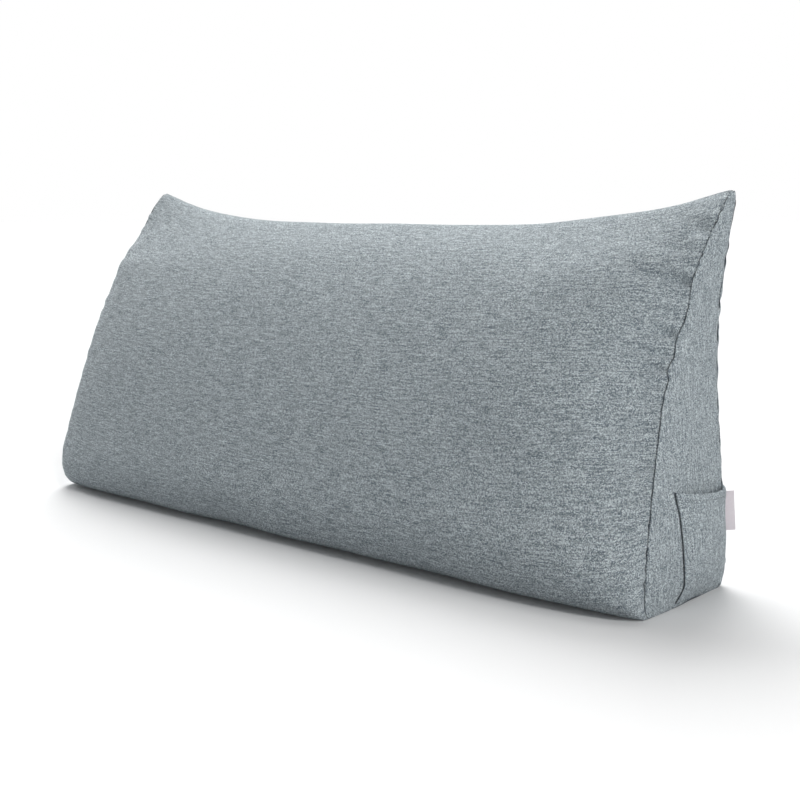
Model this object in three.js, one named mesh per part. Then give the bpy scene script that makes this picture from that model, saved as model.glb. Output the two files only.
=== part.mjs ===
// Filled wedge backrest pillow, standing upright on its flat base.
// Millimetres, +Z up, +X the end that carries the pocket, -Y the sloped front.
// The origin lies on the base, under the middle of the bounding box.
import * as THREE from 'three';

// Driving dimensions
const HALF_LENGTH_BASE = 575;      // middle of the pillow to an end seam, at the base
const HALF_LENGTH_WAIST = 551;     // the same at mid height, where the ends are drawn in
const HALF_LENGTH_TIP = 561;       // the same at the corner tips
const TIP_HEIGHT = 496;            // top of the corner tips
const FLOOR_CUT = 0.6;             // fabric lower than this is pressed flat on the floor
const END_PANEL_BULGE = 7;         // how far an end panel swells past its seam
const REAR_DRAW_IN = 6;            // the rear seam of an end lies this much further in, low down
const CLEARANCE = 0.3;             // gap between touching pieces
const CLOTH = 2.0;                 // thickness of the pocket cloth
const HEM = 3.0;                   // thickness of the folded hem at the pocket mouth
const HEM_HEIGHT = 12;             // depth of that hem
const POCKET_OPEN = 13;            // how far the pocket stands off the end panel
const LABEL_THICKNESS = 1.2;       // ribbon folded once
const LABEL_REACH = 18.5;          // how far the label stands out of the seam
const LABEL_BOTTOM = 71;
const LABEL_TOP = 121;
const LABEL_CURL = 0.16;           // radians that the free edge turns toward the rear
const LABEL_COLUMNS = 4;
const LABEL_ROWS = 6;
const CENTRE_Y = -31.23;           // middle of the bounding box, front to rear
const CENTRE_X = 5.89;             // middle of the bounding box, end to end

// Mesh fineness
const BASE_COLUMNS = 6;            // across the base and across the ridge
const FACE_ROWS = 54;              // up the front and down the rear
const SECTIONS = 42;               // along the length

const COVER_COLOUR = 0x8a939a;
const POCKET_COLOUR = 0x89929a;
const LABEL_COLOUR = 0xf3eff1;

// Side view of the cover, once round from the rear corner of the base.
// endY, endZ follow the end seam; midY, midZ follow the swollen middle.
const OUTLINE = [
  { at: 'heel',         endY: 76,  endZ: 5,   midY: 84,   midZ: 0 },
  { at: 'base',         endY: 0,   endZ: 2,   midY: -14,  midZ: 0 },
  { at: 'front corner', endY: -98, endZ: 1,   midY: -114, midZ: 0 },
  { at: 'toe',          endY: -106, endZ: 13, midY: -150, midZ: 15 },
  { at: 'shin',         endY: -104, endZ: 60, midY: -168, midZ: 60 },
  { at: 'low',          endY: -87, endZ: 125, midY: -163, midZ: 118 },
  { at: 'knee',         endY: -62, endZ: 198, midY: -148, midZ: 186 },
  { at: 'middle',       endY: -33, endZ: 277, midY: -120, midZ: 266 },
  { at: 'upper',        endY: 2,   endZ: 350, midY: -78,  midZ: 344 },
  { at: 'high',         endY: 25,  endZ: 415, midY: -28,  midZ: 403 },
  { at: 'neck',         endY: 54,  endZ: 462, midY: 17,   midZ: 435 },
  { at: 'tip front',    endY: 86,  endZ: 496, midY: 54,   midZ: 450 },
  { at: 'tip rear',     endY: 96,  endZ: 494, midY: 86,   midZ: 444 },
  { at: 'nape',         endY: 90,  endZ: 440, midY: 98,   midZ: 418 },
  { at: 'back high',    endY: 83,  endZ: 350, midY: 104,  midZ: 340 },
  { at: 'back middle',  endY: 83,  endZ: 220, midY: 106,  midZ: 210 },
  { at: 'back low',     endY: 85,  endZ: 90,  midY: 101,  midZ: 72 },
];
const FRONT_CORNER_ROW = 2;
const RIDGE_FRONT_ROW = 11;
const RIDGE_REAR_ROW = 12;

// How fast the filling swells the cover away from the end seam, by region:
// a high power keeps the middle full, a low root makes the edge round.
// The right end of the front is gathered, so it is drawn in more gradually.
const SWELL = {
  base:       { power: 12.8, root: 0.17 },
  frontRight: { power: 5.2,  root: 1.2 },
  frontLeft:  { power: 3.0,  root: 0.21 },
  rear:       { power: 11,   root: 0.47 },
  ridge:      { power: 4.0,  root: 1.2 },
};

// Puckers that run into the front panel from the right end seam.
// height is up the seam, reach is along the panel, rise lifts the inner end.
const PUCKERS = [
  { height: 446, reach: 40,  depth: 4.0, width: 9,  rise: 12 },
  { height: 386, reach: 100, depth: 3.6, width: 9,  rise: 27 },
  { height: 325, reach: 68,  depth: 3.0, width: 8,  rise: 17 },
  { height: 291, reach: 84,  depth: 3.6, width: 9,  rise: 18 },
  { height: 250, reach: 80,  depth: 1.8, width: 8,  rise: 12 },
  { height: 218, reach: 76,  depth: 3.0, width: 8,  rise: 9 },
  { height: 146, reach: 60,  depth: 2.0, width: 11, rise: 2 },
];
const LEFT_PUCKER_SHARE = 0.3;     // the left end is smoother

// Front edge of the pocket, upward from the base seam.
const POCKET_FRONT = [
  { z: 6,   y: -43 },
  { z: 14,  y: -37 },
  { z: 24,  y: -31 },
  { z: 49,  y: -32 },
  { z: 83,  y: -33 },
  { z: 111, y: -35 },
  { z: 126, y: -39 },
  { z: 141, y: -42 },
];
const POCKET_REAR_INSET = 2.5;     // rear edge of the pocket, inside the rear seam
const POCKET_REAR_TOP = 130;
const POCKET_MOUTH_SAG = 3;
const POCKET_COLUMNS = 14;
const POCKET_ROWS = 14;

const clamp01 = (t) => Math.min(Math.max(t, 0), 1);
const mix = (a, b, t) => a + (b - a) * t;
const ramp = (from, to, x) => {
  const t = clamp01((x - from) / (to - from));
  return t * t * (3 - 2 * t);
};

// Value of a table column at a given key, with straight runs between rows.
function between(table, keyColumn, valueColumn, key) {
  let i = 0;
  while (i < table.length - 2 && key > table[i + 1][keyColumn]) i += 1;
  const low = table[i];
  const high = table[i + 1];
  const t = clamp01((key - low[keyColumn]) / (high[keyColumn] - low[keyColumn]));
  return mix(low[valueColumn], high[valueColumn], t);
}

// Smooth closed outline through the rows of the table.
function outlineCurve(yColumn, zColumn) {
  const knots = OUTLINE.map((row) => new THREE.Vector3(0, row[yColumn], row[zColumn]));
  return new THREE.CatmullRomCurve3(knots, true, 'centripetal');
}

// Points on a closed curve between two of its rows, at given shares of the length.
function stretch(curve, fromRow, toRow, shares) {
  const last = toRow > fromRow ? toRow : toRow + OUTLINE.length;
  const fine = 40 * (last - fromRow);
  const points = [];
  const lengths = [0];
  for (let i = 0; i <= fine; i += 1) {
    const row = fromRow + ((last - fromRow) * i) / fine;
    points.push(curve.getPoint((row / OUTLINE.length) % 1));
    if (i > 0) lengths.push(lengths[i - 1] + points[i].distanceTo(points[i - 1]));
  }
  let k = 0;
  return shares.map((share) => {
    const target = share * lengths[fine];
    while (k < fine - 1 && lengths[k + 1] < target) k += 1;
    const t = (target - lengths[k]) / (lengths[k + 1] - lengths[k]);
    return points[k].clone().lerp(points[k + 1], clamp01(t));
  });
}

const evenShares = (count) => Array.from({ length: count }, (_, i) => i / count);

// Rows up the front lie closest together where the puckers are.
const frontShares = evenShares(FACE_ROWS).map(
  (t) => t + 0.055 * (Math.sin(2 * Math.PI * (t - 0.18)) + Math.sin(2 * Math.PI * 0.18)),
);

function ringPoints(yColumn, zColumn) {
  const curve = outlineCurve(yColumn, zColumn);
  return [
    ...stretch(curve, 0, FRONT_CORNER_ROW, evenShares(BASE_COLUMNS)),
    ...stretch(curve, FRONT_CORNER_ROW, RIDGE_FRONT_ROW, frontShares),
    ...stretch(curve, RIDGE_FRONT_ROW, RIDGE_REAR_ROW, evenShares(BASE_COLUMNS)),
    ...stretch(curve, RIDGE_REAR_ROW, 0, evenShares(FACE_ROWS)),
  ];
}

// Half length of the cover at a height: longest at the base, drawn in at the waist.
function halfLength(z) {
  const waist = ramp(40, 300, z) * (1 - ramp(350, TIP_HEIGHT, z));
  const outer = mix(HALF_LENGTH_BASE, HALF_LENGTH_TIP, clamp01(z / TIP_HEIGHT));
  return mix(outer, HALF_LENGTH_WAIST, waist);
}

// How much further in the rear of an end lies than its front.
function rearDrawIn(y, z) {
  return REAR_DRAW_IN * ramp(-60, 80, y) * (1 - ramp(60, 220, z));
}

// Power and root of the swelling at each point of the ring.
function swellAt(index, share) {
  const upFront = clamp01((index - BASE_COLUMNS) / FACE_ROWS);
  const downRear = clamp01((index - 2 * BASE_COLUMNS - FACE_ROWS) / FACE_ROWS);
  const ridge = ramp(0.72, 1, upFront) * (1 - ramp(0, 0.28, downRear));
  const onRear = index > 2 * BASE_COLUMNS + FACE_ROWS;
  const base = onRear ? ramp(0.7, 1, downRear) : 1 - ramp(0, share > 0 ? 0.27 : 0.17, upFront);
  const front = share > 0 ? SWELL.frontRight : SWELL.frontLeft;
  const face = onRear ? SWELL.rear : front;
  const blend = (name) => mix(mix(face[name], SWELL.base[name], base), SWELL.ridge[name], ridge);
  return { power: blend('power'), root: blend('root') };
}

// Depth of the puckers at a place on the front panel.
function puckerDepth(x, height) {
  const fromSeam = halfLength(height) - Math.abs(x);
  const share = x > 0 ? 1 : LEFT_PUCKER_SHARE;
  return share * PUCKERS.reduce((sum, fold) => {
    const along = clamp01(fromSeam / fold.reach);
    const across = (height - fold.height - fold.rise * along ** 0.9) / fold.width;
    const fade = ramp(-0.3, 0.12, along) * (1 - ramp(0.15, 1, along));
    return sum + fold.depth * fade * (1 - 0.9 * across * across) * Math.exp(-across * across * 0.9);
  }, 0);
}

const endRing = ringPoints('endY', 'endZ');
const midRing = ringPoints('midY', 'midZ');
const ringSize = endRing.length;

// One point of the cover: share runs from -1 at the left end to 1 at the right end.
function coverPoint(index, share) {
  const end = endRing[index];
  const mid = midRing[index];
  const { power, root } = swellAt(index, share);
  const full = Math.max(0, 1 - Math.abs(share) ** power) ** root;
  const x = share * (halfLength(end.z) - rearDrawIn(end.y, end.z));
  let y = mix(end.y, mid.y, full);
  let z = mix(end.z, mid.z, full);
  const onFront = index > BASE_COLUMNS && index < BASE_COLUMNS + FACE_ROWS;
  if (onFront) {
    const slope = ramp(0, 460, z) * 0.6;
    const dent = puckerDepth(x, end.z);
    y += dent * Math.cos(slope);
    z -= dent * Math.sin(slope);
  }
  return new THREE.Vector3(x, y, Math.max(z - FLOOR_CUT, 0));
}

// Sections lie closer together toward the ends, where the cover turns in.
function sectionShares() {
  return Array.from({ length: SECTIONS + 1 }, (_, i) => {
    const a = (2 * i) / SECTIONS - 1;
    return Math.sign(a) * (1 - (1 - Math.abs(a)) ** 2.2);
  });
}

// Grid of an end panel, stretched between the four sides of the end ring.
// column 0 is the front edge, row 0 is the base edge.
function endPanelGrid(side) {
  const ring = endRing.map((_, index) => coverPoint(index, side));
  const base = (c) => ring[BASE_COLUMNS - c];
  const front = (r) => ring[BASE_COLUMNS + r];
  const ridge = (c) => ring[BASE_COLUMNS + FACE_ROWS + c];
  const rear = (r) => ring[(ringSize - r) % ringSize];
  const grid = [];
  for (let r = 0; r <= FACE_ROWS; r += 1) {
    grid.push([]);
    for (let c = 0; c <= BASE_COLUMNS; c += 1) {
      const u = c / BASE_COLUMNS;
      const v = r / FACE_ROWS;
      const point = front(r).clone().lerp(rear(r), u)
        .add(base(c).clone().lerp(ridge(c), v))
        .sub(front(0).clone().lerp(rear(0), u).lerp(
          front(FACE_ROWS).clone().lerp(rear(FACE_ROWS), u), v));
      const onEdge = r === 0 || r === FACE_ROWS || c === 0 || c === BASE_COLUMNS;
      if (onEdge) {
        const exact = r === 0 ? base(c) : r === FACE_ROWS ? ridge(c) : c === 0 ? front(r) : rear(r);
        point.copy(exact);
      } else {
        point.x += side * panelBulge(u, v);
      }
      grid[r].push(point);
    }
  }
  return grid;
}

// Swelling of an end panel: none at the seams, most in its broad lower half.
function panelBulge(u, v) {
  const across = (4 * u * (1 - u)) ** 0.6;
  const upward = ramp(0, 0.09, v) ** 0.7 * (1 - ramp(0.35, 1, v));
  return END_PANEL_BULGE * across * upward;
}

// Adds quads between neighbouring rows of indices.
function addStrip(faces, lower, upper, flip) {
  for (let i = 0; i < lower.length - 1; i += 1) {
    const quad = [lower[i], lower[i + 1], upper[i + 1], upper[i]];
    if (flip) quad.reverse();
    faces.push(quad[0], quad[1], quad[2], quad[0], quad[2], quad[3]);
  }
}

// Collects points, so that pieces of a skin share the ones on their common edges.
class Skin {
  constructor() {
    this.positions = [];
    this.lookup = new Map();
    this.faces = [];
  }

  point(p) {
    const key = [p.x, p.y, p.z].map((v) => Math.round(v * 1000)).join(' ');
    if (!this.lookup.has(key)) {
      this.lookup.set(key, this.positions.length / 3);
      this.positions.push(p.x, p.y, p.z);
    }
    return this.lookup.get(key);
  }

  sheet(rows, flip) {
    const indices = rows.map((row) => row.map((p) => this.point(p)));
    for (let r = 0; r < indices.length - 1; r += 1) addStrip(this.faces, indices[r], indices[r + 1], flip);
  }

  geometry() {
    const kept = [];
    for (let i = 0; i < this.faces.length; i += 3) {
      const [a, b, c] = this.faces.slice(i, i + 3);
      if (a !== b && b !== c && c !== a) kept.push(a, b, c);
    }
    const shape = new THREE.BufferGeometry();
    shape.setAttribute('position', new THREE.Float32BufferAttribute(this.positions, 3));
    shape.setIndex(kept);
    shape.computeVertexNormals();
    return shape;
  }
}

function fabric(colour, roughness) {
  return new THREE.MeshStandardMaterial({ color: colour, roughness, metalness: 0 });
}

function namedMesh(name, geometry, material) {
  const mesh = new THREE.Mesh(geometry, material);
  mesh.name = name;
  return mesh;
}

// The filled cover: one closed skin of sections and two end panels.
const endPanel = endPanelGrid(1);

function buildPillow() {
  const skin = new Skin();
  const rings = sectionShares().map((share) => {
    const ring = endRing.map((_, index) => coverPoint(index, share));
    ring.push(ring[0]);
    return ring;
  });
  skin.sheet(rings, true);
  skin.sheet(endPanel, false);
  skin.sheet(endPanelGrid(-1), true);
  return namedMesh('pillow', skin.geometry(), fabric(COVER_COLOUR, 0.95));
}

// Place on the right end panel, x only, for a given y and z.
// The triangle of the panel grid over that place gives it exactly.
function endPanelX(y, z) {
  for (let r = 0; r < FACE_ROWS; r += 1) {
    for (let c = 0; c < BASE_COLUMNS; c += 1) {
      const corners = [endPanel[r][c], endPanel[r][c + 1], endPanel[r + 1][c + 1], endPanel[r + 1][c]];
      for (const [i, j, k] of [[0, 1, 2], [0, 2, 3]]) {
        const [a, b, d] = [corners[i], corners[j], corners[k]];
        const area = (b.y - a.y) * (d.z - a.z) - (b.z - a.z) * (d.y - a.y);
        const s = ((y - a.y) * (d.z - a.z) - (z - a.z) * (d.y - a.y)) / area;
        const t = ((b.y - a.y) * (z - a.z) - (b.z - a.z) * (y - a.y)) / area;
        if (s >= -1e-6 && t >= -1e-6 && s + t <= 1 + 1e-6) return a.x + s * (b.x - a.x) + t * (d.x - a.x);
      }
    }
  }
  return halfLength(z);
}

// Rear seam of the right end, y for a given z.
function rearSeamY(z) {
  const rows = endPanel.map((row) => ({ z: row[BASE_COLUMNS].z, y: row[BASE_COLUMNS].y }));
  return between(rows, 'z', 'y', z);
}

// The pocket: a patch sewn on three sides, open along the top.
function buildPocket() {
  const bottom = POCKET_FRONT[0].z;
  const mouthFront = POCKET_FRONT[POCKET_FRONT.length - 1].z;
  const inner = [];
  const outer = [];
  for (let r = 0; r <= POCKET_ROWS; r += 1) {
    inner.push([]);
    outer.push([]);
    const v = r < POCKET_ROWS - 2
      ? (r / (POCKET_ROWS - 2)) * (1 - HEM_HEIGHT / (mouthFront - bottom))
      : 1 - ((POCKET_ROWS - r) / 3) * (HEM_HEIGHT / (mouthFront - bottom));
    for (let c = 0; c <= POCKET_COLUMNS; c += 1) {
      const u = 0.5 - 0.5 * Math.cos((Math.PI * c) / POCKET_COLUMNS);
      const top = mix(mouthFront, POCKET_REAR_TOP, u) - POCKET_MOUTH_SAG * Math.sin(Math.PI * u);
      const z = mix(bottom, top, v);
      const y = mix(between(POCKET_FRONT, 'z', 'y', z), rearSeamY(z) - POCKET_REAR_INSET, u);
      const across = 1 - Math.abs(2 * u - 1) ** 3;
      const upward = ramp(-0.1, 0.55, v);
      const standOff = 2 * CLEARANCE + POCKET_OPEN * across * upward;
      const thickness = mix(CLOTH, HEM, ramp(1 - 1.3 * HEM_HEIGHT / (mouthFront - bottom), 1, v));
      const x = endPanelX(y, z) + standOff;
      inner[r].push(new THREE.Vector3(x, y, z));
      outer[r].push(new THREE.Vector3(x + thickness, y, z));
    }
  }
  const skin = new Skin();
  skin.sheet(outer, false);
  skin.sheet(inner, true);
  const front = (rows) => rows.map((row) => row[0]);
  const rear = (rows) => rows.map((row) => row[POCKET_COLUMNS]);
  skin.sheet([inner[0], outer[0]], false);
  skin.sheet([outer[POCKET_ROWS], inner[POCKET_ROWS]], false);
  skin.sheet([front(outer), front(inner)], false);
  skin.sheet([rear(inner), rear(outer)], false);
  return namedMesh('side_pocket', skin.geometry(), fabric(POCKET_COLOUR, 0.95));
}

// The label: a folded ribbon caught in the rear seam, standing out at a slant
// and curling a little toward the rear at its free edge.
function buildLabel() {
  const sides = [-LABEL_THICKNESS / 2, LABEL_THICKNESS / 2].map((side) => {
    const rows = [];
    for (let r = 0; r <= LABEL_ROWS; r += 1) {
      const z = mix(LABEL_BOTTOM, LABEL_TOP, r / LABEL_ROWS);
      const seam = new THREE.Vector3(endPanelX(rearSeamY(z) - 0.01, z), rearSeamY(z), z);
      rows.push([]);
      for (let c = 0; c <= LABEL_COLUMNS; c += 1) {
        const u = c / LABEL_COLUMNS;
        const turn = Math.PI / 4 + LABEL_CURL * u;
        const out = new THREE.Vector3(Math.cos(turn), Math.sin(turn), 0);
        const aside = new THREE.Vector3(Math.sin(turn), -Math.cos(turn), 0);
        rows[r].push(seam.clone().addScaledVector(out, 3 * CLEARANCE + LABEL_REACH * u)
          .addScaledVector(aside, side));
      }
    }
    return rows;
  });
  const [rearSide, frontSide] = sides;
  const skin = new Skin();
  const column = (rows, c) => rows.map((row) => row[c]);
  skin.sheet(frontSide, false);
  skin.sheet(rearSide, true);
  skin.sheet([rearSide[0], frontSide[0]], false);
  skin.sheet([frontSide[LABEL_ROWS], rearSide[LABEL_ROWS]], false);
  skin.sheet([column(frontSide, 0), column(rearSide, 0)], false);
  skin.sheet([column(rearSide, LABEL_COLUMNS), column(frontSide, LABEL_COLUMNS)], false);
  return namedMesh('label', skin.geometry(), fabric(LABEL_COLOUR, 0.8));
}

const backrestPillow = new THREE.Group();
backrestPillow.add(buildPillow(), buildPocket(), buildLabel());
backrestPillow.position.set(-CENTRE_X, -CENTRE_Y, 0);

export default backrestPillow;
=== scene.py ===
import bpy
import bmesh
import math
import random
import numpy as np
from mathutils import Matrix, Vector
from mathutils.bvhtree import BVHTree


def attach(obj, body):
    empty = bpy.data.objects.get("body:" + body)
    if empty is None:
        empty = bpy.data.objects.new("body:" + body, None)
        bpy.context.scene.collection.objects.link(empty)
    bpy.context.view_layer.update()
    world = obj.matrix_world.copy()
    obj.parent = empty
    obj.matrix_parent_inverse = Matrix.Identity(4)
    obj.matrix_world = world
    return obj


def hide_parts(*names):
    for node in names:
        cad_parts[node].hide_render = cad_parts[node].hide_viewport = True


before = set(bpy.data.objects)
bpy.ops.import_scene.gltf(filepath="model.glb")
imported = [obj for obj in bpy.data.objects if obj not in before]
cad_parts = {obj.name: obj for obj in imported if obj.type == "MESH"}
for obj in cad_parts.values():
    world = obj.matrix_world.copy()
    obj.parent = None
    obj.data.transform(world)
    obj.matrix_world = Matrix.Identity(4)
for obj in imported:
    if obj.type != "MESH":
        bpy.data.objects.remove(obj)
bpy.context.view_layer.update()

# ---------------------------------------------------------------- the view
# The camera stands in front and to the right, a little above the pillow,
# at the angle and distance of the picture it was built from.
VIEW_AZIMUTH = math.radians(42.62)
VIEW_ELEVATION = math.radians(8.41)
VIEW_DISTANCE = 1.9403
VIEW_TARGET = Vector((0.0831, 0.0312, 0.1992))
FOCAL_SHARE = 1345.0 / 800.0        # focal length over the picture's width

back = Vector((
    math.sin(VIEW_AZIMUTH) * math.cos(VIEW_ELEVATION),
    -math.cos(VIEW_AZIMUTH) * math.cos(VIEW_ELEVATION),
    math.sin(VIEW_ELEVATION),
))
camera_data = bpy.data.cameras.new("camera")
camera_data.sensor_width = 36.0
camera_data.lens = 36.0 * FOCAL_SHARE
camera_data.clip_start = 0.05
camera_data.clip_end = 60.0
camera = bpy.data.objects.new("camera", camera_data)
bpy.context.collection.objects.link(camera)
camera.location = VIEW_TARGET + back * VIEW_DISTANCE
camera.rotation_euler = (-back).to_track_quat("-Z", "Y").to_euler()
bpy.context.scene.camera = camera

# ---------------------------------------------------------------- the studio
# A wide floor of white paper under broad, far lights: the strongest from the
# left and behind, weaker ones from the right and the front, and a dim sky.
bpy.context.scene.view_settings.view_transform = "Standard"

world = bpy.data.worlds.new("studio")
bpy.context.scene.world = world
world.use_nodes = True
sky = world.node_tree
sky_light = sky.nodes["Background"]
sky_light.inputs["Color"].default_value = (0.93, 0.965, 1.0, 1.0)
sky_light.inputs["Strength"].default_value = 0.03
sky_seen = sky.nodes.new("ShaderNodeBackground")
sky_seen.inputs["Color"].default_value = (1.0, 1.0, 1.0, 1.0)
sky_choice = sky.nodes.new("ShaderNodeMixShader")
sky_ray = sky.nodes.new("ShaderNodeLightPath")
sky.links.new(sky_ray.outputs["Is Camera Ray"], sky_choice.inputs[0])
sky.links.new(sky_light.outputs[0], sky_choice.inputs[1])
sky.links.new(sky_seen.outputs[0], sky_choice.inputs[2])
sky.links.new(sky_choice.outputs[0], sky.nodes["World Output"].inputs["Surface"])


def soft_sun(name, azimuth, elevation, strength, spread):
    """A far, broad light: azimuth 0 shines on the front, 90 on the right end."""
    data = bpy.data.lights.new(name, "SUN")
    data.energy = strength
    data.angle = math.radians(spread)
    lamp = bpy.data.objects.new(name, data)
    bpy.context.collection.objects.link(lamp)
    az, el = math.radians(azimuth), math.radians(elevation)
    source = Vector((math.sin(az) * math.cos(el), -math.cos(az) * math.cos(el), math.sin(el)))
    lamp.location = source * 4.0
    lamp.rotation_euler = (-source).to_track_quat("-Z", "Y").to_euler()
    return lamp


soft_sun("high_right_light", 75.0, 48.0, 0.8, 12.0)
soft_sun("rear_left_light", -135.0, 45.0, 2.0, 35.0)
soft_sun("high_rear_light", -135.0, 70.0, 0.7, 35.0)
soft_sun("left_light", -90.0, 20.0, 1.15, 35.0)
soft_sun("right_light", 90.0, 15.0, 0.8, 35.0)
soft_sun("front_light", 0.0, 15.0, 0.3, 35.0)

FLOOR_RADIUS = 30.0
floor_mesh = bpy.data.meshes.new("paper_floor")
floor_mesh.from_pydata(
    [(FLOOR_RADIUS * math.cos(math.radians(a)), FLOOR_RADIUS * math.sin(math.radians(a)), -0.0004)
     for a in range(0, 360, 6)], [], [list(range(60))])
paper_floor = bpy.data.objects.new("paper_floor", floor_mesh)
bpy.context.collection.objects.link(paper_floor)
paper = bpy.data.materials.new("white_paper")
paper.use_nodes = True
paper_shader = paper.node_tree.nodes["Principled BSDF"]
paper_shader.inputs["Roughness"].default_value = 0.9
paper_shader.inputs["Specular IOR Level"].default_value = 0.0
# the paper looks white, yet throws back less light onto the pillow
paper_ray = paper.node_tree.nodes.new("ShaderNodeLightPath")
paper_tone = paper.node_tree.nodes.new("ShaderNodeMix")
paper_tone.data_type = "RGBA"
paper_tone.inputs[6].default_value = (0.5, 0.51, 0.52, 1.0)
paper_tone.inputs[7].default_value = (1.0, 1.0, 1.0, 1.0)
paper.node_tree.links.new(paper_ray.outputs["Is Camera Ray"], paper_tone.inputs[0])
paper.node_tree.links.new(paper_tone.outputs[2], paper_shader.inputs["Base Color"])
floor_mesh.materials.append(paper)

# ---------------------------------------------------------------- the cover fabric
# Plain woven upholstery cloth in mixed light and dark blue-grey yarns, with
# slubs that run along the weft. The weave group gives yarn height, tone and
# fuzz from a cloth map that is measured in metres.


def add_node(tree, kind, place, **settings):
    node = tree.nodes.new(kind)
    node.location = place
    for key, value in settings.items():
        setattr(node, key, value)
    return node


def calc(tree, operation, place, a=None, b=None, c=None, clamp=False):
    node = add_node(tree, "ShaderNodeMath", place, operation=operation, use_clamp=clamp)
    for socket, value in zip(node.inputs, (a, b, c)):
        if value is None:
            continue
        if isinstance(value, (int, float)):
            socket.default_value = value
        else:
            tree.links.new(value, socket)
    return node.outputs[0]


def stretched_noise(tree, place, x, y, x_size, y_size, detail, seed):
    """Noise over the cloth map, with its grain stretched to the given sizes in metres."""
    join = add_node(tree, "ShaderNodeCombineXYZ", place)
    tree.links.new(calc(tree, "DIVIDE", (place[0] - 180, place[1]), x, x_size), join.inputs[0])
    tree.links.new(calc(tree, "DIVIDE", (place[0] - 180, place[1] - 60), y, y_size), join.inputs[1])
    join.inputs[2].default_value = seed
    noise = add_node(tree, "ShaderNodeTexNoise", (place[0] + 180, place[1]), noise_dimensions="3D")
    noise.inputs["Scale"].default_value = 1.0
    noise.inputs["Detail"].default_value = detail
    noise.inputs["Roughness"].default_value = 0.6
    tree.links.new(join.outputs[0], noise.inputs["Vector"])
    return noise.outputs["Fac"]


weave = bpy.data.node_groups.new("melange weave", "ShaderNodeTree")
face = weave.interface
face.new_socket("Cloth Map", in_out="INPUT", socket_type="NodeSocketVector")
for label_text, start in (("Yarn Pitch", 0.0013), ("Slub Length", 0.005), ("Unevenness", 0.4)):
    face.new_socket(label_text, in_out="INPUT", socket_type="NodeSocketFloat").default_value = start
for label_text in ("Height", "Tone", "Fuzz"):
    face.new_socket(label_text, in_out="OUTPUT", socket_type="NodeSocketFloat")
inlet = add_node(weave, "NodeGroupInput", (-1600, 0))
outlet = add_node(weave, "NodeGroupOutput", (1500, 0))
split = add_node(weave, "ShaderNodeSeparateXYZ", (-1400, 0))
weave.links.new(inlet.outputs["Cloth Map"], split.inputs[0])
map_x, map_y = split.outputs[0], split.outputs[1]
pitch = inlet.outputs["Yarn Pitch"]
slub = inlet.outputs["Slub Length"]
uneven = inlet.outputs["Unevenness"]

# yarns wander a little from straight lines
drift_x = stretched_noise(weave, (-1100, 500), map_x, map_y, 0.006, 0.02, 1.0, 3.1)
drift_y = stretched_noise(weave, (-1100, 300), map_x, map_y, 0.02, 0.006, 1.0, 8.7)
yarn_x = calc(weave, "ADD", (-700, 500),
              calc(weave, "DIVIDE", (-850, 500), map_x, pitch),
              calc(weave, "MULTIPLY", (-850, 440), drift_x, uneven))
yarn_y = calc(weave, "ADD", (-700, 300),
              calc(weave, "DIVIDE", (-850, 300), map_y, pitch),
              calc(weave, "MULTIPLY", (-850, 240), drift_y, uneven))
row = calc(weave, "FLOOR", (-500, 300), yarn_y)
column = calc(weave, "FLOOR", (-500, 500), yarn_x)


def yarn_crown(tree, place, position):
    """Round back of one yarn across its width, 1 at the middle and 0 at its edges."""
    offset = calc(tree, "SUBTRACT", place, calc(tree, "FRACT", (place[0] - 150, place[1]), position), 0.5)
    square = calc(tree, "MULTIPLY", (place[0] + 150, place[1]), offset, offset)
    return calc(tree, "SUBTRACT", (place[0] + 300, place[1]), 1.0,
                calc(tree, "MULTIPLY", (place[0] + 220, place[1] - 40), square, 3.6), clamp=True)


def over_under(tree, place, along, number):
    """Rise and fall of a yarn as it passes over and under the crossing ones."""
    crossing_count = calc(tree, "ADD", (place[0] - 150, place[1]), along, number)
    turn = calc(tree, "MULTIPLY", place, crossing_count, math.pi)
    return calc(tree, "MULTIPLY_ADD", (place[0] + 300, place[1]),
                calc(tree, "COSINE", (place[0] + 150, place[1]), turn), 0.5, 0.5)


weft = calc(weave, "MULTIPLY", (200, 300), yarn_crown(weave, (-250, 300), yarn_y),
            over_under(weave, (-250, 180), calc(weave, "SUBTRACT", (-420, 140), yarn_x, 0.5), row))
warp = calc(weave, "MULTIPLY", (200, 600), yarn_crown(weave, (-250, 600), yarn_x),
            over_under(weave, (-250, 480), calc(weave, "ADD", (-420, 440), yarn_y, 0.5), column))
weft_on_top = calc(weave, "GREATER_THAN", (400, 300), weft, warp)
crossing = calc(weave, "MAXIMUM", (400, 500), weft, warp)

# each yarn changes its own tone along its length, apart from its neighbours
row_step = calc(weave, "MULTIPLY", (-700, -100), row, 5.37)
column_step = calc(weave, "MULTIPLY", (-700, -300), column, 4.71)
weft_tone = stretched_noise(weave, (-400, -100), map_x, row_step, slub, 1.0, 1.5, 1.7)
warp_tone = stretched_noise(weave, (-400, -300), column_step, map_y, 1.0,
                            calc(weave, "MULTIPLY", (-700, -360), slub, 0.7), 1.5, 5.3)
long_slub = stretched_noise(weave, (-400, -500), map_x, map_y,
                            calc(weave, "MULTIPLY", (-700, -520), slub, 20.0), 0.002, 2.0, 9.1)
tone_mix = add_node(weave, "ShaderNodeMix", (500, -100), data_type="FLOAT")
weave.links.new(weft_on_top, tone_mix.inputs[0])
weave.links.new(warp_tone, tone_mix.inputs[2])
weave.links.new(weft_tone, tone_mix.inputs[3])
tone = calc(weave, "MULTIPLY_ADD", (700, -100), tone_mix.outputs[0], 0.78,
            calc(weave, "MULTIPLY", (600, -250), long_slub, 0.22))
TONE_CONTRAST = 5.6
tone = calc(weave, "MULTIPLY_ADD", (900, -100), calc(weave, "SUBTRACT", (800, -100), tone, 0.5),
            TONE_CONTRAST, 0.5, clamp=True)
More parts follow.
